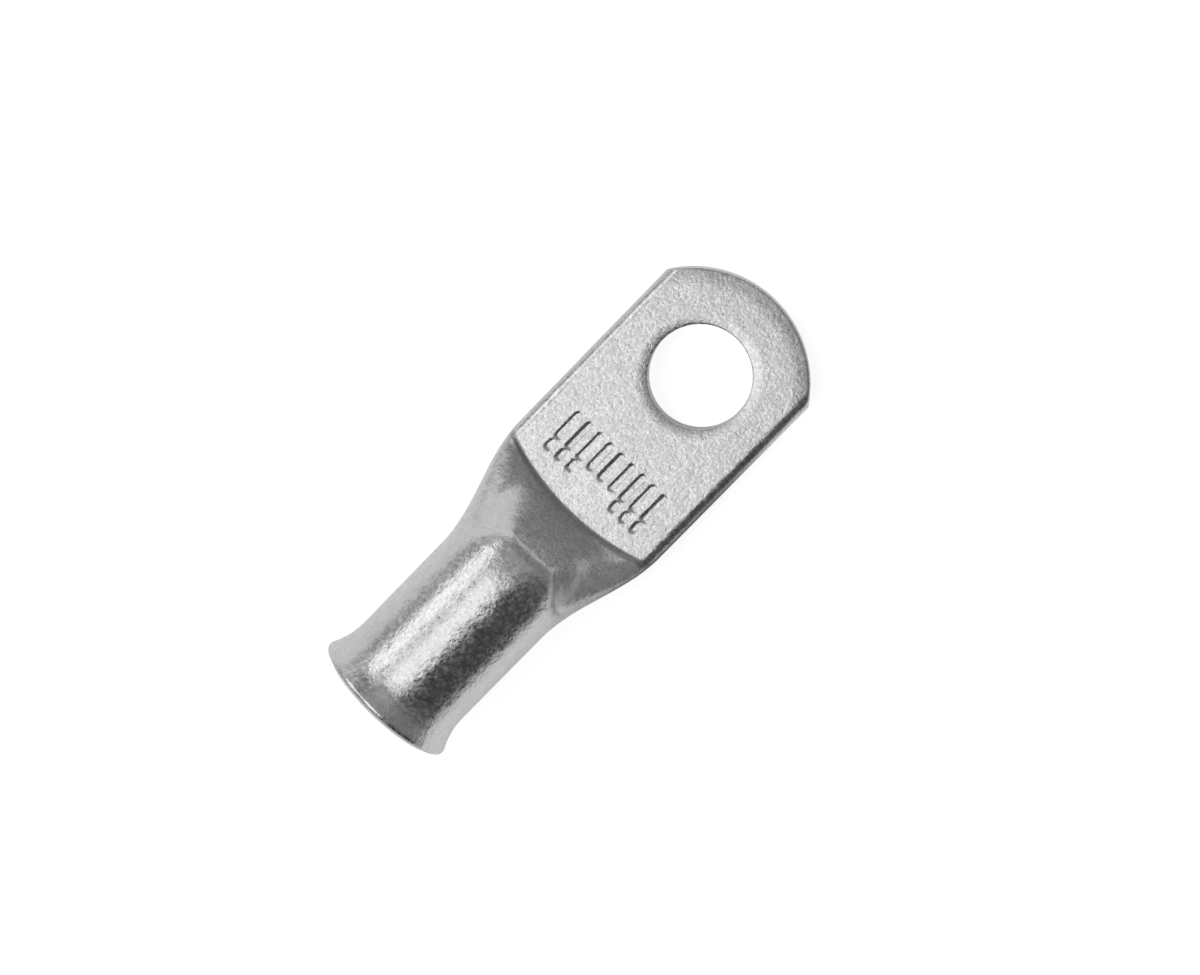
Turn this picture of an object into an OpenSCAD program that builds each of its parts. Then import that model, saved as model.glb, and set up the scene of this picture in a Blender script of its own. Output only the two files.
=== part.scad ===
// Flared copper cable lug, tin plated. One piece of tube: its mouth is flared for
// the cable, its middle stays round, and its other end is pressed flat into a palm
// with a stud hole. X runs from the mouth to the end of the palm and Z is up. The
// origin is the centre of the stud hole on the palm's seating face.

/* [Tube] */
// Outside diameter of the tube
tube_od = 9.2; // [8.4:0.1:10.4]
// Wall thickness of the tube
tube_wall = 1.1; // [0.8:0.05:1.4]
// Straight length of the round barrel, from the flare to the neck
barrel_len = 8.1; // [4:0.1:24]

/* [Flared mouth] */
// Radius of the mouth's outward curve, on the outside of the wall
flare_r = 3.8; // [3:0.1:8]
// Angle that the mouth turns outward
flare_angle = 30; // [15:0.5:35]

/* [Neck] */
// Length of the neck, in which the round tube widens into the palm
neck_len = 8.8; // [8:0.1:14]
// Radius of the brow, where the top of the tube starts to sag
brow_r = 9; // [4:0.1:12]
// Slope that the brow reaches at the nose
brow_angle = 18; // [5:0.5:25]
// Round of the nose, where the brow turns down into the ramp
nose_r = 1.5; // [0.4:0.05:2]
// Half width of the nose's straight front
nose_half = 1.4; // [0.5:0.1:2.5]
// Width of the nose's rounded corner, on each side of its front
nose_corner = 2.8; // [1.5:0.1:3.5]
// How far the nose stands forward of the tube's sides
nose_reach = 2.1; // [0:0.1:2.4]
// Slope of the flat ramp between the nose and the crease
ramp_angle = 66.5; // [60:0.5:72]
// Half width of the flat ramp below the nose
ramp_half = 1.7; // [0.5:0.1:2.5]
// Distance from the middle of the crease to the end of the neck
crease_back = 2.05; // [1.5:0.05:3]
// How far the middle of the crease bows toward the barrel
crease_bow = 1.3; // [0:0.05:1.8]
// Inside round of the crease between the ramp and the palm
crease_r = 0.6; // [0.3:0.05:1.2]

/* [Palm] */
// Round of the palm's folded sides
fold_r = 0.8; // [0.4:0.05:0.9]
// Distance from the stud hole's centre to the neck
palm_len = 10.8; // [8:0.1:20]
// Distance from the stud hole's centre to the end of the palm
end_reach = 7.1; // [6:0.1:10]
// Radius of the palm's rounded end
end_r = 7.9; // [7:0.1:12]
// Small round on the upper rim of the cropped end
end_round = 0.2; // [0.05:0.05:0.4]

/* [Stud hole] */
// Diameter of the stud hole
hole_d = 7; // [4.5:0.1:8.5]
// Round that the punch leaves on the upper rim of the hole
hole_roll = 0.55; // [0.1:0.05:0.8]

/* [Hidden] */

tube_r = tube_od / 2;
bore_r = tube_r - tube_wall;

// The palm is the tube's two walls pressed together, so the length of the wall's
// middle line sets the palm's width.
palm_t = 2 * tube_wall;
palm_w = palm_t + PI * (tube_od - palm_t) / 2;
top_flat = palm_w / 2 - fold_r;

// Places along X, in the middle of the lug
neck_end = -palm_len;
neck_start = neck_end - neck_len;
crease_x = neck_end - crease_back;

// The top's middle line is a brow, a nose, a ramp and a crease, each tangent to the next.
// It is laid out backward from where the ramp meets the palm.
brow_end_z = tube_od - brow_r * (1 - cos(brow_angle));
nose_end_z = brow_end_z - nose_r * (cos(brow_angle) - cos(ramp_angle));
nose_end_x = crease_x - (nose_end_z - palm_t) / tan(ramp_angle);
brow_end_x = nose_end_x - nose_r * (sin(ramp_angle) - sin(brow_angle));
brow_x = brow_end_x - brow_r * sin(brow_angle);
crease_tangent = crease_r * tan(ramp_angle / 2);
crease_start_x = crease_x - crease_tangent * cos(ramp_angle);
crease_end_x = crease_x + crease_tangent;

// Inside, the ramp's ceiling starts one wall below the tube's, and comes down to a slit of
// this height where the two walls meet.
seam_gap = 0.12;
ramp_wall = tube_wall / cos(ramp_angle);
ceiling_x = crease_x - (tube_od - palm_t - tube_wall + ramp_wall) / tan(ramp_angle);
seam_x = crease_x - (seam_gap + ramp_wall - tube_wall) / tan(ramp_angle);

// Facets: points on a quarter of a ring, and the finest step on exact rounds
quarter_points = 12;
round_fn = 96;
// How far a cutter runs past the face that it opens
cut_past = 1;
// How far the neck's faceted skin stays inside the wall of the barrel and the palm,
// so that its ends land on their end faces
skin_inset = 0.02;

function smooth(t) = let (c = min(1, max(0, t))) c * c * (3 - 2 * c);
function steps(from, to, count) = [for (i = [0:count - 1]) from + (to - from) * i / count];

// Half width of the neck at x
function neck_half(x) =
    tube_r + (palm_w / 2 - tube_r) * smooth((x - neck_start) / neck_len);

// Heights at x of the brow's arc of radius r, of the ramp, and of the top's middle line
function brow_z(x, r) = tube_od - brow_r + sqrt(r ^ 2 - max(0, x - brow_x) ^ 2);
function ramp_z(x) = palm_t + (crease_x - x) * tan(ramp_angle);
function top_z(x) =
    x <= brow_end_x ? brow_z(x, brow_r) :
    x <= nose_end_x ? let (nose_x = nose_end_x - nose_r * sin(ramp_angle))
        nose_end_z - nose_r * cos(ramp_angle) + sqrt(nose_r ^ 2 - (x - nose_x) ^ 2) :
    x <= crease_start_x ? ramp_z(x) :
    x <= crease_end_x ? palm_t + crease_r - sqrt(crease_r ^ 2 - (crease_end_x - x) ^ 2) :
    palm_t;

// Height at x of the middle of the cavity's ceiling, one wall inside the top
function ceiling_z(x) = min(brow_z(x, brow_r - tube_wall), ramp_z(x) - ramp_wall);

// A ring's points are shifted along X by how far they are from the middle: the nose's
// sides lie behind its front, and the ends of the crease lead its middle.
function nose_lag(x) =
    x <= nose_end_x ? nose_reach * smooth((x - neck_start) / (nose_end_x - neck_start)) :
    nose_reach * max(0, crease_x - x) / (crease_x - nose_end_x);
function crease_lead(x) =
    x <= crease_x ? crease_bow * max(0, x - nose_end_x) / (crease_x - nose_end_x) :
    crease_bow * (neck_end - x) / crease_back;

// Half width of the flat top: the ramp is narrow below the nose and flares at the crease
function ramp_flat(flattened) =
    ramp_half * smooth(flattened / 0.15) + (top_flat - ramp_half) * flattened ^ 5;

// A quarter of a section: a flat of half width flat, then an elliptical round of
// half axes across and up. The points are spread evenly along both.
function quarter(flat, across, up) = let (
    bend = PI / 4 * (across + up),
    share = flat / (flat + bend)
) [for (i = [0:quarter_points]) let (
    a = i / quarter_points,
    turn = 90 * max(0, a - share) / (1 - share)
) [a < share ? flat * a / share : flat + across * sin(turn), up * cos(turn)]];

// A closed ring whose middle is at x, inset inside the tube's outside, of height high.
// It goes from round, where it isn't flattened, to flat with folded sides.
function ring(x, inset, high) = let (
    flattened = max(0, (tube_od - inset - high) / (tube_od - palm_t)),
    half = neck_half(x - nose_lag(x) + crease_lead(x)) - inset,
    wanted_r = tube_r - inset + (fold_r - tube_r) * flattened,
    round_r = min(max(wanted_r, skin_inset), (high - inset) / 2 - skin_inset),
    flat = min(ramp_flat(flattened), half - round_r),
    upper = quarter(flat, half - flat, round_r),
    lower = quarter(half - round_r, round_r, round_r),
    right = concat(
        [for (p = upper) [p[0], high - round_r + p[1]]],
        [for (i = [0:quarter_points]) let (p = lower[quarter_points - i])
            [p[0], inset + round_r - p[1]]]
    ),
    left = [for (i = [1:len(right) - 2]) let (p = right[len(right) - 1 - i]) [-p[0], p[1]]]
) [for (p = concat(right, left)) [
    x - nose_lag(x) * smooth((max(0, abs(p[0]) - nose_half) / nose_corner) ^ 1.25)
        + crease_lead(x) * (p[0] / half) ^ 2,
    p[0], p[1]
]];

// The triangles that close a ring of n points, in strips that join each of its
// upper points to the lower point under it
function cap(n) = let (bottom = n / 2) [for (i = [0:(bottom - 1) / 2 - 1]) each [
    [i, i + 1, bottom - i],
    [i + 1, bottom - i - 1, bottom - i],
    [(n - i) % n, bottom + i, n - i - 1],
    [n - i - 1, bottom + i, bottom + i + 1]
]];

// A closed solid skinned over rings that have the same number of points
module skin(rings) {
    n = len(rings[0]);
    last = len(rings) - 1;
    sides = [for (k = [0:last - 1], i = [0:n - 1]) let (
        j = (i + 1) % n,
        a = k * n + i,
        b = k * n + j
    ) each [[a, b, b + n], [a, b + n, a + n]]];
    first_cap = [for (t = cap(n)) [t[2], t[1], t[0]]];
    last_cap = [for (t = cap(n)) [for (i = t) last * n + i]];
    polyhedron([for (r = rings) each r], concat(sides, first_cap, last_cap));
}

// Section of the tube's wall from the neck to the lip: straight, then curving out
// on a constant wall, with a fully rounded lip. X is the radius here, Y the length.
module barrel_section() {
    flare_mid_r = flare_r + tube_wall / 2;
    flare_centre = [tube_r + flare_r, barrel_len];
    sector = 2 * flare_mid_r;
    translate([bore_r, 0]) square([tube_wall, barrel_len]);
    translate(flare_centre) intersection() {
        difference() {
            circle(r = flare_r + tube_wall, $fn = round_fn);
            circle(r = flare_r, $fn = round_fn);
        }
        polygon([[0, 0], [-sector, 0], sector * [-cos(flare_angle), sin(flare_angle)]]);
    }
    translate(flare_centre + flare_mid_r * [-cos(flare_angle), sin(flare_angle)])
        circle(d = tube_wall, $fn = round_fn);
}

module barrel() {
    translate([neck_start, 0, tube_r])
        rotate([0, -90, 0])
            rotate_extrude($fn = round_fn) barrel_section();
}

// The neck's wall in one skin: from the seam back along the cavity to the barrel,
// across the end of the wall, and forward along the outside to the palm.
module neck() {
    cavity = concat(
        steps(seam_x, ceiling_x, 8),
        steps(ceiling_x, brow_x, 3),
        steps(brow_x, neck_start, 3),
        [neck_start]
    );
    outside = concat(
        steps(neck_start, brow_x, 3),
        steps(brow_x, brow_end_x, 5),
        steps(brow_end_x, nose_end_x, 5),
        steps(nose_end_x, crease_start_x, 7),
        steps(crease_start_x, crease_end_x, 5),
        steps(crease_end_x, neck_end, 3),
        [neck_end]
    );
    skin(concat(
        [for (x = cavity) ring(x, tube_wall - skin_inset, ceiling_z(x) + skin_inset)],
        [for (x = outside) ring(x, skin_inset, top_z(x) - skin_inset)]
    ));
}

// The palm: a bar with rounded folds, cropped round at its end
module palm_bar() {
    length = palm_len + end_reach + cut_past;
    translate([neck_end, 0, palm_t / 2])
        rotate([90, 0, 90])
            linear_extrude(length) {
                square([palm_w - 2 * fold_r, palm_t], center = true);
                square([palm_w, palm_t - 2 * fold_r], center = true);
                for (side = [-1, 1], level = [-1, 1])
                    translate([side * top_flat, level * (palm_t / 2 - fold_r)])
                        circle(r = fold_r, $fn = round_fn);
            }
}

// What the cropping die leaves: a disc with a rounded upper rim, and all before it
module crop() {
    end_centre = end_reach - end_r;
    translate([end_centre, 0, 0])
        rotate_extrude($fn = round_fn) {
            translate([0, -cut_past]) square([end_r, cut_past + palm_t - end_round]);
            square([end_r - end_round, palm_t + cut_past]);
            translate([end_r - end_round, palm_t - end_round])
                circle(r = end_round, $fn = round_fn);
        }
    translate([neck_end - cut_past, -palm_w, -cut_past])
        cube([end_centre - neck_end + cut_past, 2 * palm_w, palm_t + 2 * cut_past]);
}

module stud_hole() {
    translate([0, 0, -cut_past])
        cylinder(d = hole_d, h = palm_t + 2 * cut_past, $fn = round_fn);
    rotate_extrude($fn = round_fn)
        difference() {
            translate([0, palm_t - hole_roll])
                square([hole_d / 2 + hole_roll, hole_roll + cut_past]);
            translate([hole_d / 2 + hole_roll, palm_t - hole_roll])
                circle(r = hole_roll, $fn = round_fn);
        }
}

module palm() {
    difference() {
        intersection() {
            palm_bar();
            crop();
        }
        stud_hole();
    }
}

module lug() {
    color([0.78, 0.78, 0.77])
        union() {
            barrel();
            neck();
            palm();
        }
}

lug();
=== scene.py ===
"""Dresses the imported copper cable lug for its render: the tube with all its fine form as
one close mesh, the tin plate on it, and the table, light and camera around it."""

from math import atan2, cos, hypot, pi, radians, sin, sqrt, tan

import bmesh
import bpy
import numpy as np
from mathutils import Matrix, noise


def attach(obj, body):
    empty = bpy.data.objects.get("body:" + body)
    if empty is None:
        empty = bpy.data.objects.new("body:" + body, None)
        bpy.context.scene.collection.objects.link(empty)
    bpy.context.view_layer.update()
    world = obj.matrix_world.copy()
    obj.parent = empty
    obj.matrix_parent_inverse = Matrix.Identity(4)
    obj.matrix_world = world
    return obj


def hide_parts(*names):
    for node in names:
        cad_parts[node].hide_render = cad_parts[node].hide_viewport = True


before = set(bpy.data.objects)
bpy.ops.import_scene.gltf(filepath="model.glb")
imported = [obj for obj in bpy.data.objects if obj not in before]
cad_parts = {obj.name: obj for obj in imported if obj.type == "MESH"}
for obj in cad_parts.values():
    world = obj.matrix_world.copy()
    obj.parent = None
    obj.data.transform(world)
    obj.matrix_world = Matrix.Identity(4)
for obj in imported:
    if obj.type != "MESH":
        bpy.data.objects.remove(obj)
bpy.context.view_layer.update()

# ---------------------------------------------------------------------------------------
# The tube. One length of soft copper tube that all the rest is formed from. Its wall stays
# the same thickness and its girth about the same length, from the barrel to the flat palm.
# Sizes are in millimetres, and x runs from the mouth to the end of the palm.

tube_r = 4.6
tube_wall = 1.1
tube_od = 2 * tube_r

# Places round the tube, from the middle of its top to the middle of its bottom, as shares of
# the way. They lie closest on the top, where the palm is stamped, and widest on the bottom.
top_share = 0.38
side_share = 0.62
girth = np.concatenate([
    np.linspace(0, top_share, 72)[:-1],
    np.linspace(top_share, side_share, 30)[:-1],
    np.linspace(side_share, 1, 24),
])
arc_points = 240


def smooth(t):
    """0 up to 0 and 1 from 1, with a smooth change between."""
    t = np.clip(t, 0, 1)
    return t * t * (3 - 2 * t)


def section(half, low, high, flat, up, down):
    """A closed section as columns of y and z. Its top is flat to the half width flat, then
    falls round by up, and its bottom is flat between rounds of the height down."""
    turn = np.linspace(0, pi / 2, arc_points)
    foot = min(half, down)
    y = np.concatenate([
        [0], flat + (half - flat) * np.sin(turn), half - foot + foot * np.cos(turn), [0]
    ])
    z = np.concatenate([
        [high], high - up + up * np.cos(turn), low + down - down * np.sin(turn), [low]
    ])
    run = np.concatenate([[0], np.cumsum(np.hypot(np.diff(y), np.diff(z)))])
    at = girth * run[-1]
    right = np.stack([np.interp(at, run, y), np.interp(at, run, z)], axis=1)
    left = right[-2:0:-1] * [-1, 1]
    return np.concatenate([right, left])


def ring(x, yz):
    """A section's points in space, at one x or with an x for each."""
    x = np.broadcast_to(np.asarray(x, float), len(yz))
    return np.column_stack([x, yz])


rings = []

# ---------------------------------------------------------------------------------------
# The palm. The tube's end, pressed flat until its walls meet, with both sides folded round.
# A die crops its end to an arc, which draws the upper rim down, and stamps it near the neck.

palm_t = 2 * tube_wall
palm_w = palm_t + pi * (tube_od - palm_t) / 2
palm_half = palm_w / 2
palm_mid = palm_t / 2
fold_r = 0.8
top_flat = palm_half - fold_r
palm_len = 10.8
end_reach = 7.1
end_r = 7.9
end_centre = end_reach - end_r
end_bend_from = 1.0
rim_round = 0.2
rim_roll_depth = 0.07
rim_roll_width = 1.5
hair = 0.001
stamp_x = -8.5
stamp_deep = 0.10
stamp_half = 0.16
stamp_wall = 0.14
bar_half_length = 0.95
short_bar_half_length = 0.2
short_bar_back = 1.75


def end_x(y):
    return end_centre + np.sqrt(end_r**2 - y**2)


def stamp_depth(x, y):
    """Depth of the die's marks in the palm: a row of plain bars, and behind it three short
    bars at each end."""
    depth = np.zeros_like(x)
    bars = [(stamp_x, y0, bar_half_length) for y0 in range(-4, 5)]
    short_x = stamp_x - short_bar_back
    short_bars = [(short_x, y0, short_bar_half_length) for y0 in (-4, -3, -2, 2, 3, 4)]
    for x0, y0, half_length in bars + short_bars:
        away = np.hypot(np.maximum(np.abs(x - x0) - half_length, 0), y - y0)
        depth = np.maximum(depth, 1 - smooth((away - stamp_half) / stamp_wall))
    return stamp_deep * depth


def palm_surface(points):
    """Draws the palm's top down to the cropped rim and presses the marks in it."""
    x, y, z = points.T
    inward = end_r - np.hypot(x - end_centre, y)
    inward = np.where(x > 0, inward, end_r)
    tight = np.clip(rim_round - inward, 0, rim_round)
    drop = rim_round - np.sqrt(rim_round**2 - tight**2)
    drop = drop + rim_roll_depth * (1 - smooth(inward / rim_roll_width)) ** 2
    height = np.clip((z - palm_mid) / palm_mid, 0, 1)
    points[:, 2] -= height * drop
    points[:, 2] -= np.where(z > palm_t - hair, stamp_depth(x, y), 0)
    return points


def palm_ring(at, thickness=1.0):
    """The palm's section. Toward the end it is bent to the end's arc, and the cropped face
    is made of the last one at a growing share of its thickness."""
    yz = section(palm_half, 0, palm_t, top_flat, fold_r, fold_r)
    t = max(0, (at - end_bend_from) / (end_reach - end_bend_from))
    x = min(at, end_bend_from) + t * (end_x(yz[:, 0]) - end_bend_from)
    points = palm_surface(ring(x, yz))
    points[:, 2] = palm_mid + (points[:, 2] - palm_mid) * thickness
    return points


for thickness in (0, 0.04, 0.1, 0.25, 0.4, 0.55, 0.7, 0.85, 0.95):
    rings.append(palm_ring(end_reach, thickness))
rim_steps = np.array([0, 0.005, 0.015, 0.035, 0.06, 0.1, 0.15, 0.2, 0.3, 0.45, 0.65, 0.9])
stamped_from, stamped_to = -6.9, -10.4
palm_stations = np.concatenate([
    end_reach - rim_steps,
    np.linspace(end_reach - 1.2, stamped_from, 72)[:-1],
    np.linspace(stamped_from, stamped_to, 51)[:-1],
    np.linspace(stamped_to, -palm_len, 5)[:-1],
])
rings += [palm_ring(at) for at in palm_stations]

# ---------------------------------------------------------------------------------------
# The neck. The press draws the top of the round tube down over a brow, bends it sharply at
# the nose and leaves a steep flat ramp to the crease, while the sides spread into flanks.

neck_len = 8.8
brow_r = 9.0
brow_angle = radians(18)
nose_r = 1.5
nose_half = 1.4
nose_corner = 2.8
nose_reach = 2.1
ramp_angle = radians(66.5)
ramp_half = 1.7
crease_back = 2.05
crease_bow = 1.3
crease_r = 0.6
least_round = 0.02
flat_by = 0.15
flat_spread = 5
corner_ease = 1.25
neck_end = -palm_len
neck_start = neck_end - neck_len
ramp_wall = tube_wall / cos(ramp_angle)
crease_x = neck_end - crease_back
crease_tangent = crease_r * tan(ramp_angle / 2)
crease_start_x = crease_x - crease_tangent * cos(ramp_angle)
crease_end_x = crease_x + crease_tangent
brow_end_z = tube_od - brow_r * (1 - cos(brow_angle))
nose_end_z = brow_end_z - nose_r * (cos(brow_angle) - cos(ramp_angle))
nose_end_x = crease_x - (nose_end_z - palm_t) / tan(ramp_angle)
brow_end_x = nose_end_x - nose_r * (sin(ramp_angle) - sin(brow_angle))
brow_x = brow_end_x - brow_r * sin(brow_angle)


def ramp_z(x):
    return palm_t + (crease_x - x) * tan(ramp_angle)


def brow_z(x, r):
    return tube_od - brow_r + sqrt(r**2 - max(0, x - brow_x) ** 2)


def top_z(x):
    """Height of the neck's top along its middle."""
    if x <= brow_end_x:
        return brow_z(x, brow_r)
    if x <= nose_end_x:
        nose_x = nose_end_x - nose_r * sin(ramp_angle)
        return nose_end_z - nose_r * cos(ramp_angle) + sqrt(nose_r**2 - (x - nose_x) ** 2)
    if x <= crease_start_x:
        return ramp_z(x)
    if x <= crease_end_x:
        return palm_t + crease_r - sqrt(crease_r**2 - (crease_end_x - x) ** 2)
    return palm_t


def ceiling_z(x):
    """Height of the cavity's ceiling along its middle, one wall inside the top."""
    return min(brow_z(x, brow_r - tube_wall), ramp_z(x) - ramp_wall)


def neck_half(x):
    return tube_r + (palm_half - tube_r) * smooth((x - neck_start) / neck_len)


def nose_lag(x):
    """How far the nose's sides lie behind its front."""
    if x <= nose_end_x:
        return nose_reach * smooth((x - neck_start) / (nose_end_x - neck_start))
    return nose_reach * max(0, crease_x - x) / (crease_x - nose_end_x)


def crease_lead(x):
    """How far the ends of the crease lie ahead of its middle."""
    if x <= crease_x:
        return crease_bow * max(0, x - nose_end_x) / (crease_x - nose_end_x)
    return crease_bow * (neck_end - x) / crease_back


def neck_ring(x, inset=0.0):
    """The neck's section, or with an inset of one wall the cavity's, by its middle's x."""
    high = ceiling_z(x) if inset else top_z(x)
    flattened = max(0, (tube_od - inset - high) / (tube_od - palm_t))
    half = neck_half(x - nose_lag(x) + crease_lead(x)) - inset
    rounded = tube_r - inset + (fold_r - tube_r) * flattened
    rounded = min(max(rounded, least_round), (high - inset) / 2)
    flat = ramp_half * smooth(flattened / flat_by)
    flat += (top_flat - ramp_half) * flattened**flat_spread
    yz = section(half, inset, high, min(flat, half - rounded), rounded, rounded)
    past_front = np.maximum(0, np.abs(yz[:, 0]) - nose_half) / nose_corner
    beside = smooth(past_front**corner_ease)
    return ring(x - nose_lag(x) * beside + crease_lead(x) * (yz[:, 0] / half) ** 2, yz)


neck_stations = np.concatenate([
    np.linspace(neck_end, crease_end_x, 8)[:-1],
    np.linspace(crease_end_x, crease_start_x, 18)[:-1],
    np.linspace(crease_start_x, nose_end_x, 30)[:-1],
    np.linspace(nose_end_x, brow_end_x, 15)[:-1],
    np.linspace(brow_end_x, neck_start, 34)[:-1],
])
rings += [neck_ring(x) for x in neck_stations]

# ---------------------------------------------------------------------------------------
# The barrel and its mouth. The tube stays round here, and its end is flared for the strands
# of the cable, with a blunt lip that is rounded at both edges. The rings run along it, round
# the lip and back inside.

barrel_len = 7.67
bore_r = tube_r - tube_wall
flare_r = 5.5
flare_angle = radians(25.5)
flare_x = neck_start - barrel_len
flare_centre_r = tube_r + flare_r
lip_half = tube_wall / 2
lip_corner = 0.27
lip_reach = 0.45
lip_centre_r = flare_centre_r - (flare_r + lip_half) * cos(flare_angle)
lip_x = flare_x - (flare_r + lip_half) * sin(flare_angle)


def round_ring(x, r):
    return ring(x, section(r, tube_r - r, tube_r + r, 0, r, r))


rings += [round_ring(x, tube_r) for x in np.linspace(neck_start, flare_x, 41)[:-1]]
for a in np.linspace(0, flare_angle, 12)[:-1]:
    rings.append(round_ring(flare_x - flare_r * sin(a), flare_centre_r - flare_r * cos(a)))
corner_turns = np.linspace(0, pi / 2, 8)
lip = [(lip_corner * sin(a), lip_half - lip_corner + lip_corner * cos(a)) for a in corner_turns]
lip += [(forward, -across) for forward, across in reversed(lip)]
for forward, across in lip:
    forward += lip_reach - lip_corner
    rings.append(round_ring(
        lip_x - forward * cos(flare_angle) + across * sin(flare_angle),
        lip_centre_r + forward * sin(flare_angle) + across * cos(flare_angle),
    ))
for a in np.linspace(flare_angle, 0, 9)[1:]:
    inner = flare_r + tube_wall
    rings.append(round_ring(flare_x - inner * sin(a), flare_centre_r - inner * cos(a)))
rings += [round_ring(x, bore_r) for x in np.linspace(flare_x, neck_start, 10)[1:-1]]

# ---------------------------------------------------------------------------------------
# The cavity. Inside the neck the bore follows the pressed wall and narrows to a slit under
# the foot of the ramp, where the two walls come together.

seam_gap = 0.12
seam_x = crease_x - (seam_gap + ramp_wall - tube_wall) / tan(ramp_angle)
for x in np.linspace(neck_start, seam_x, 22):
    rings.append(neck_ring(x, tube_wall))
slit_end = rings[-1].copy()
slit_end[:, 2] = tube_wall + seam_gap / 2
rings.append(slit_end)

# ---------------------------------------------------------------------------------------
# The stud hole. It is punched from above, so its upper rim is drawn down in a smooth round,
# its wall is straight, and its lower rim has only a fine break.

hole_r = 3.5
hole_points = 192
roll_width = 0.85
roll_slope = radians(10)
rim_r = 0.13
roll_end_r = hole_r + rim_r - rim_r * sin(roll_slope)
roll_run = hole_r + roll_width - roll_end_r
roll_drop = roll_run * tan(roll_slope) / 2
rim_z = palm_t - roll_drop - rim_r * cos(roll_slope)
hole_profile = [
    (roll_end_r + roll_run * (1 - t), palm_t - roll_drop * t**2)
    for t in np.linspace(0, 1, 9)[:-1]
]
for a in np.linspace(roll_slope, pi / 2, 9):
    hole_profile.append((hole_r + rim_r - rim_r * sin(a), rim_z + rim_r * cos(a)))
hole_profile += [(hole_r, 1.2), (hole_r, 0.7), (hole_r, 0.25), (hole_r + 0.02, 0.05)]
hole_profile += [(hole_r + 0.07, 0), (hole_r + 0.15, 0)]

# ---------------------------------------------------------------------------------------
# The finished tube. The rings are joined to one skin, which is opened where the punch goes
# through, wider on top than below, and takes in the hole's wall. The mesh is in metres.

mm = 0.001
cut_margin = 0.02
skin_margin = 0.01
rim_within_r = 5.5 * mm
angle_shift = 0.001
wave_height = 0.012 * mm
wave_free_r = 4.5 * mm
wave_free_z = 0.1 * mm
swells_per_m = 420
ripples_per_m = 1100
ripple_share = 0.6
palm_wave_share = 0.4
palm_wave_from = -11.5 * mm
weld = 0.0002 * mm
sharp_angle = radians(38)

count = len(rings[0])
points = np.concatenate(rings)
quads = []
for k in range(len(rings) - 1):
    for i in range(count):
        j = (i + 1) % count
        quads.append((k * count + i, k * count + j, (k + 1) * count + j, (k + 1) * count + i))
quads = np.array(quads)

reach = np.hypot(points[:, 0], points[:, 1])
in_palm = points[:, 0] > neck_end
on_top = points[:, 2] > palm_mid
cut_r = np.where(on_top, hole_profile[0][0] + cut_margin, hole_profile[-1][0] + cut_margin)
on_skin = (points[:, 2] > palm_t - skin_margin) | (points[:, 2] < skin_margin)
taken = in_palm & (reach < cut_r) & on_skin
opened = taken[quads].any(axis=1)

mesh = bmesh.new()
verts = [mesh.verts.new(p * mm) for p in points]
for quad in quads[~opened]:
    mesh.faces.new([verts[i] for i in quad])


def rim_loop(top):
    """The open edge round the punched hole, in order of angle."""
    rim = {v for e in mesh.edges if e.is_boundary for v in e.verts}
    rim = [v for v in rim if hypot(v.co.x, v.co.y) < rim_within_r]
    rim = [v for v in rim if (v.co.z > palm_mid * mm) == top]
    return sorted(rim, key=lambda v: atan2(v.co.y, v.co.x))


def turned(vert, rounds):
    """A point's angle about the hole's axis, after so many whole rounds."""
    return atan2(vert.co.y, vert.co.x) + 2 * pi * rounds


def zip_loops(first, second):
    """Joins two loops about the hole's axis with triangles, whatever their counts."""
    i = j = 0
    while i < len(first) or j < len(second):
        a, b = first[i % len(first)], second[j % len(second)]
        next_a, next_b = first[(i + 1) % len(first)], second[(j + 1) % len(second)]
        step_a = i < len(first) and (
            j >= len(second)
            or turned(next_a, (i + 1) // len(first)) <= turned(next_b, (j + 1) // len(second))
        )
        mesh.faces.new([a, next_a, b] if step_a else [a, next_b, b])
        i, j = (i + 1, j) if step_a else (i, j + 1)


top_rim, bottom_rim = rim_loop(True), rim_loop(False)
hole_angles = np.linspace(-pi, pi, hole_points, endpoint=False) + angle_shift
loops = [
    [mesh.verts.new((r * cos(a) * mm, r * sin(a) * mm, z * mm)) for a in hole_angles]
    for r, z in hole_profile
]
for upper, lower in zip(loops, loops[1:]):
    for i in range(hole_points):
        j = (i + 1) % hole_points
        mesh.faces.new((upper[i], upper[j], lower[j], lower[i]))
zip_loops(top_rim, loops[0])
zip_loops(bottom_rim, loops[-1])

# Drawing and pressing leave soft metal very slightly wavy, but not round the punched hole
# and not underneath, where it lay on the press's bed.
mesh.normal_update()
for vert in mesh.verts:
    if vert.co.z > wave_free_z and hypot(vert.co.x, vert.co.y) > wave_free_r:
        ripple = ripple_share * noise.noise(vert.co * ripples_per_m)
        wave = noise.noise(vert.co * swells_per_m) + ripple
        share = palm_wave_share if vert.co.x > palm_wave_from else 1
        vert.co += vert.normal * wave * wave_height * share

loose = [v for v in mesh.verts if not v.link_faces]
bmesh.ops.delete(mesh, geom=loose, context="VERTS")
bmesh.ops.remove_doubles(mesh, verts=mesh.verts, dist=weld)
bmesh.ops.recalc_face_normals(mesh, faces=mesh.faces)
for face in mesh.faces:
    face.smooth = True
lug_mesh = bpy.data.meshes.new("lug_tube")
mesh.to_mesh(lug_mesh)
mesh.free()
lug_mesh.set_sharp_from_angle(angle=sharp_angle)
lug = bpy.data.objects.new("lug_tube", lug_mesh)
bpy.context.scene.collection.objects.link(lug)
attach(lug, "root")
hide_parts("lug")

# ---------------------------------------------------------------------------------------
# The tin plate. A thin electroplated coat over the copper: neutral grey, satin, pebbled with
# a fine grain on the pressed palm and softly mottled on the drawn tube.


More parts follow.
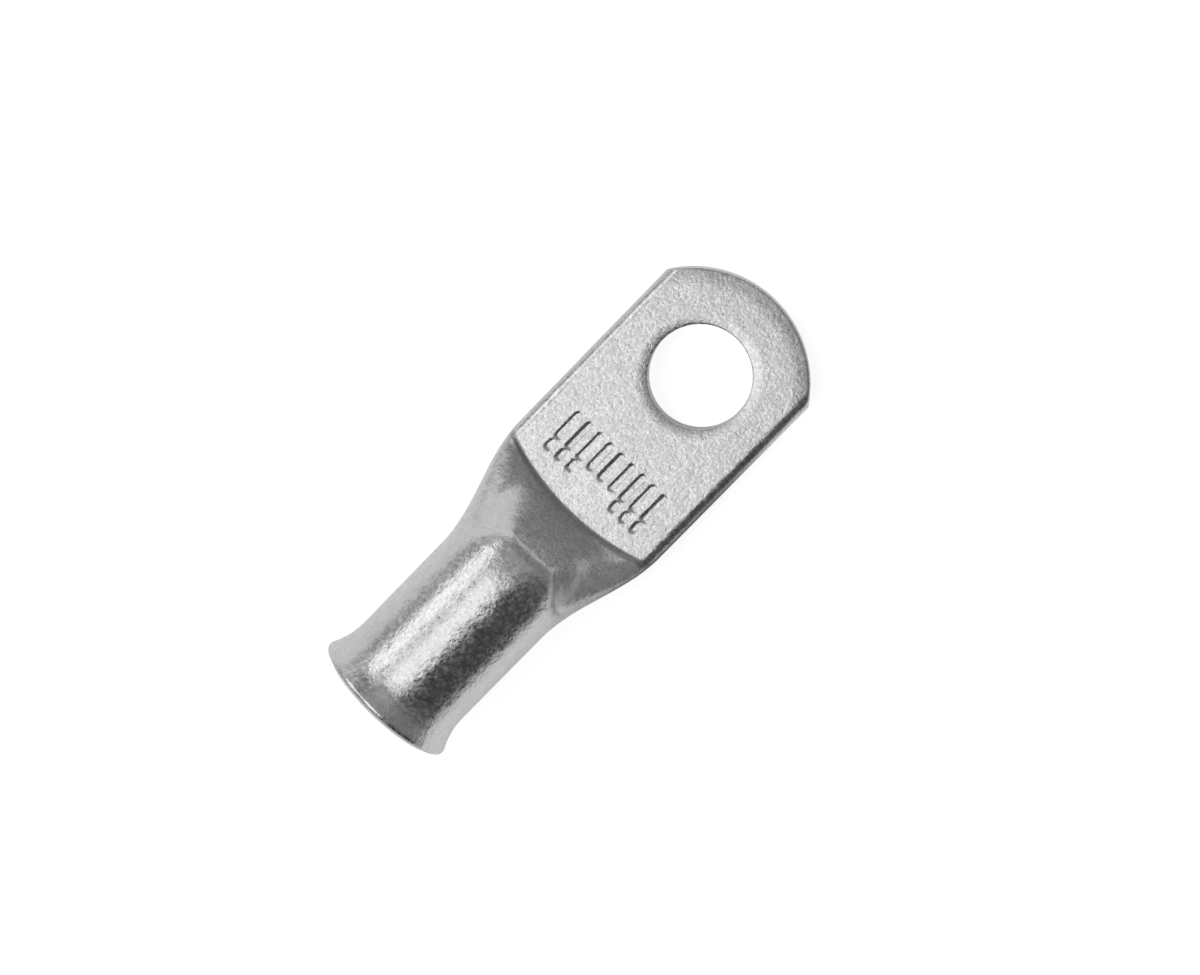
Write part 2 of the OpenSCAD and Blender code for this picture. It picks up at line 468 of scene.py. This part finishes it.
class Wire:
    """A socket of a node tree, with the sums that may be written on it."""

    def __init__(self, tree, socket):
        self.tree, self.socket = tree, socket

    def sum(self, operation, *values):
        settings = {"operation": operation}
        return self.tree.node("ShaderNodeMath", settings, dict(enumerate(values)))[0]

    def __add__(self, other):
        return self.sum("ADD", self, other)

    def __sub__(self, other):
        return self.sum("SUBTRACT", self, other)

    def __rsub__(self, other):
        return self.sum("SUBTRACT", other, self)

    def __mul__(self, other):
        return self.sum("MULTIPLY", self, other)

    def step(self, low, high):
        """0 below low and 1 above high, with a smooth change between."""
        settings = {"interpolation_type": "SMOOTHSTEP"}
        ends = {"From Min": low, "From Max": high, "Value": self}
        return self.tree.node("ShaderNodeMapRange", settings, ends)[0]

    __radd__ = __add__
    __rmul__ = __mul__


class Outputs:
    """A node's outputs, each as a wire."""

    def __init__(self, tree, made):
        self.tree, self.made = tree, made

    def __getitem__(self, name):
        return Wire(self.tree, self.made.outputs[name])


class Tree:
    """A node tree that is filled one node at a time."""

    def __init__(self, owner):
        owner.use_nodes = True
        self.nodes, self.links = owner.node_tree.nodes, owner.node_tree.links
        self.nodes.clear()

    def node(self, kind, settings=None, sockets=None):
        """Adds a node, sets it, fills or links its sockets, and gives its outputs."""
        made = self.nodes.new(kind)
        for name, value in (settings or {}).items():
            setattr(made, name, value)
        for name, value in (sockets or {}).items():
            if isinstance(value, Wire):
                self.links.new(value.socket, made.inputs[name])
            else:
                made.inputs[name].default_value = value
        return Outputs(self, made)


plate = bpy.data.materials.new("tin_plate")
tin = Tree(plate)
place = tin.node("ShaderNodeTexCoord")["Object"]
place = tin.node("ShaderNodeVectorMath", {"operation": "SCALE"}, {0: place, "Scale": 1 / mm})[0]
axes = tin.node("ShaderNodeSeparateXYZ", {}, {"Vector": place})
along, across, up = axes["X"], axes["Y"], axes["Z"]
on_palm = along.step(-12.8, -12.2)


def tin_noise(per_mm, detail, roughness=0.5):
    """Noise about 0, with so many swells to a millimetre."""
    sockets = {"Vector": place, "Scale": per_mm, "Detail": detail, "Roughness": roughness}
    return tin.node("ShaderNodeTexNoise", {}, sockets)["Fac"] - 0.5


fine = tin_noise(7.5, 1.0)
grain = tin_noise(4.4, 3.0, 0.6)
pebble = tin_noise(1.6, 3.0, 0.6)
mottle = tin_noise(0.8, 3.0, 0.6)
cloud = tin_noise(0.25, 2.0)

# Painted shade in the crease: the tin is darkened along it, and made a little rougher there.
past_crease = along - crease_end_x - crease_bow / palm_half**2 * across * across
crease_shade = past_crease.step(-0.65, -0.35) * (1 - past_crease.step(-0.15, 0.0)) * up.step(1.6, 2.2)

tone = 0.82 + (0.15 + 0.30 * on_palm) * fine + 0.10 * cloud
tone = tone + (0.38 - 0.18 * on_palm) * (grain + 0.8 * pebble)
tone = tone * (1 - 0.45 * crease_shade)
rough = 0.28 + (0.75 - 0.25 * on_palm) * grain + 0.25 * pebble + 0.15 * crease_shade
height = (
    grain * (0.016 + 0.006 * on_palm)
    + fine * (0.006 + 0.006 * on_palm)
    + pebble * (0.030 - 0.018 * on_palm)
    + mottle * (0.038 - 0.020 * on_palm)
)

color = {"Red": tone, "Green": tone * 0.995, "Blue": tone * 0.985}
color = tin.node("ShaderNodeCombineColor", {}, color)["Color"]
bump = {"Strength": 1.0, "Distance": mm, "Height": height}
bump = tin.node("ShaderNodeBump", {}, bump)["Normal"]
coat = {"Base Color": color, "Metallic": 1.0, "Roughness": rough, "Normal": bump}
coat = tin.node("ShaderNodeBsdfPrincipled", {}, coat)["BSDF"]
tin.node("ShaderNodeOutputMaterial", {}, {"Surface": coat})
lug_mesh.materials.append(plate)

# ---------------------------------------------------------------------------------------
# The table. The lug lies on the lowest point of its lip and on the far end of its palm, so
# the white table under it leans by that small angle. It keeps the lug's shadow.

table_half = 2
table_gap = 0.02
lip_low = tube_r - lip_centre_r - lip_corner
lip_low -= (lip_reach - lip_corner) * sin(flare_angle) + (lip_half - lip_corner) * cos(flare_angle)
rest_angle = atan2(-lip_low, end_reach - lip_x)
corners = ((-1, -1), (1, -1), (1, 1), (-1, 1))
table_mesh = bpy.data.meshes.new("table")
table_mesh.from_pydata(
    [(x * table_half, y * table_half, 0) for x, y in corners], [], [(0, 1, 2, 3)]
)
table = bpy.data.objects.new("table", table_mesh)
table.location = (lip_x * mm, 0, (lip_low - table_gap) * mm)
table.rotation_euler = (0, -rest_angle, 0)
bpy.context.scene.collection.objects.link(table)

white = bpy.data.materials.new("table_white")
top = Tree(white)
rays = top.node("ShaderNodeLightPath")
mirrored = rays["Is Glossy Ray"]
spot = top.node("ShaderNodeTexCoord")["Object"]
spot = top.node("ShaderNodeSeparateXYZ", {}, {"Vector": spot})

# The lug's lower sides mirror the table. Painted shade: four stretches of it are darker in that
# mirror image alone, so that the metal keeps its dark bands: beside the neck, past it, past the
# palm's end and before the mouth. In that mirror image the table's own glow is also painted a
# little weaker on the left side.
by_neck = spot["Y"].step(-0.024, -0.016) * (1 - spot["Y"].step(-0.003, 0.003))
by_neck = by_neck * spot["X"].step(0.008, 0.018) * (1 - spot["X"].step(0.024, 0.031))
past_neck = 0.6 * spot["X"].step(0.012, 0.026) * (1 - spot["Y"].step(-0.026, -0.012))
past_palm = 0.7 * spot["X"].step(0.036, 0.046) * (1 - spot["Y"].step(-0.02, 0.0))
past_mouth = 0.65 * (1 - spot["X"].step(-0.03, -0.004))
mirror_shade = 1 - (1 - by_neck) * (1 - past_neck) * (1 - past_palm) * (1 - past_mouth)

glow = 0.78 * (rays["Is Camera Ray"] + rays["Is Transmission Ray"])
bounce = (0.36 - 0.06 * spot["Y"].step(-0.03, 0.0)) * (1 - 0.9 * mirror_shade)
glow = glow + bounce * mirrored
pale = 0.82 * (1 - 0.6 * mirror_shade * mirrored)
pale = top.node("ShaderNodeCombineColor", {}, {"Red": pale, "Green": pale, "Blue": pale})
lit = top.node("ShaderNodeBsdfDiffuse", {}, {"Color": pale["Color"]})["BSDF"]
own = top.node("ShaderNodeEmission", {}, {"Color": (1, 1, 1, 1), "Strength": glow})["Emission"]
both = top.node("ShaderNodeAddShader", {}, {0: lit, 1: own})[0]
top.node("ShaderNodeOutputMaterial", {}, {"Surface": both})
table_mesh.materials.append(white)

# ---------------------------------------------------------------------------------------
# The light. Two soft boxes, one overhead and one low on the lug's left side, and a dim room.
# On the round metal they make two bright bands with a dark one beside them.

box_distance = 0.6
for name, centre_x, size, size_y, lean, level in (
    ("overhead_box", -0.47, 0.96, 0.42, 7, 1.1),
    ("side_box", -0.23, 0.64, 0.28, 49, 1.25),
):
    soft = bpy.data.lights.new(name, "AREA")
    soft.shape = "RECTANGLE"
    soft.size, soft.size_y = size, size_y
    soft.energy = level * pi * size * size_y
    box = bpy.data.objects.new(name, soft)
    lean = radians(lean)
    box.location = (centre_x, box_distance * sin(lean), box_distance * cos(lean))
    box.rotation_euler = (-lean, 0, 0)
    bpy.context.scene.collection.objects.link(box)

# The room is darkest beyond the mouth and on the right, where only a strip along the horizon
# is light. On the left its lower part is the lighter one.
world = bpy.data.worlds.new("room")
bpy.context.scene.world = world
room = Tree(world)
toward = room.node("ShaderNodeTexCoord")["Generated"]
toward = room.node("ShaderNodeSeparateXYZ", {}, {"Vector": toward})
low = 1 - toward["Z"].step(0.3, 0.5)
left = 0.25 * toward["Y"].step(0.0, 0.5) * low
ahead = 0.15 * toward["X"].step(-0.1, 0.5)
left_ahead = 0.29 * toward["X"].step(0.25, 0.7) * toward["Y"].step(0.15, 0.4) * low
high_ahead = 0.15 * toward["Z"].step(0.7, 0.85) * toward["X"].step(-0.05, 0.1)
high_ahead = high_ahead * toward["Y"].step(-0.3, 0.0)
right_horizon = 0.25 * (1 - toward["Z"].step(0.02, 0.06)) * (1 - toward["Y"].step(-0.6, -0.2))
right_horizon = right_horizon * (1 - toward["X"].step(-0.1, 0.2))
dim = 0.05 + left + ahead + left_ahead + high_ahead + right_horizon
back = room.node("ShaderNodeBackground", {}, {"Color": (1, 1, 1, 1), "Strength": dim})
room.node("ShaderNodeOutputWorld", {}, {"Surface": back["Background"]})

# ---------------------------------------------------------------------------------------
# The camera. It looks down on the lug from a little beyond the palm's end, turned so that
# the lug lies across the frame with its mouth at the lower left.

camera = bpy.data.cameras.new("camera")
camera.lens, camera.sensor_width = 89.4, 36
camera.clip_start, camera.clip_end = 0.01, 10
camera_object = bpy.data.objects.new("camera", camera)
camera_object.location = (0.01459, 0.00273, 0.20042)
camera_object.rotation_euler = (radians(-5.696), radians(4.294), radians(-45.847))
bpy.context.scene.collection.objects.link(camera_object)
bpy.context.scene.camera = camera_object
bpy.context.scene.view_settings.view_transform = "Standard"
